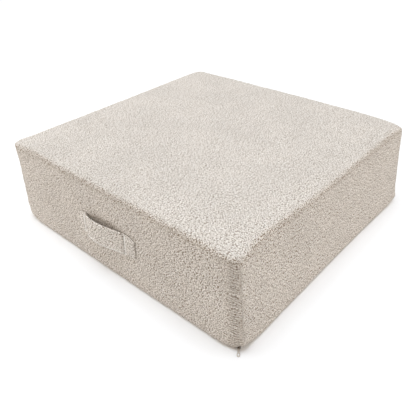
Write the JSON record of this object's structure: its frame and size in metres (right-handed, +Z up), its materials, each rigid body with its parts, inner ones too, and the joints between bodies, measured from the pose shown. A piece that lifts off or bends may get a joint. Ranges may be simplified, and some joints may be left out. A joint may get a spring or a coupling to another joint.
{
  "type": "jumping cushion",
  "caption": "Low foam-filled jumping cushion in a beige bouclé cover, with a sewn carrying strap on one side wall and a zip slider at a lower corner.",
  "frame": {"origin": "middle of the flat base, on the surface it rests on", "axes": "+Z up through the cushion's thickness, -Y out of the wall with the carrying strap, +X towards the corner with the zip slider"},
  "size_m": [0.6485, 0.625, 0.2],
  "materials": {
    "boucle_cloth": "knobbly beige boucle weave, matt",
    "slider_metal": "dark bronze lacquer",
    "pull_metal": "worn warm grey metal"
  },
  "bodies": {
    "root": {"cushion": "boucle_cloth", "carry_strap": "boucle_cloth", "zip_slider": "slider_metal", "zip_pull": "pull_metal"}
  },
  "joints": []
}
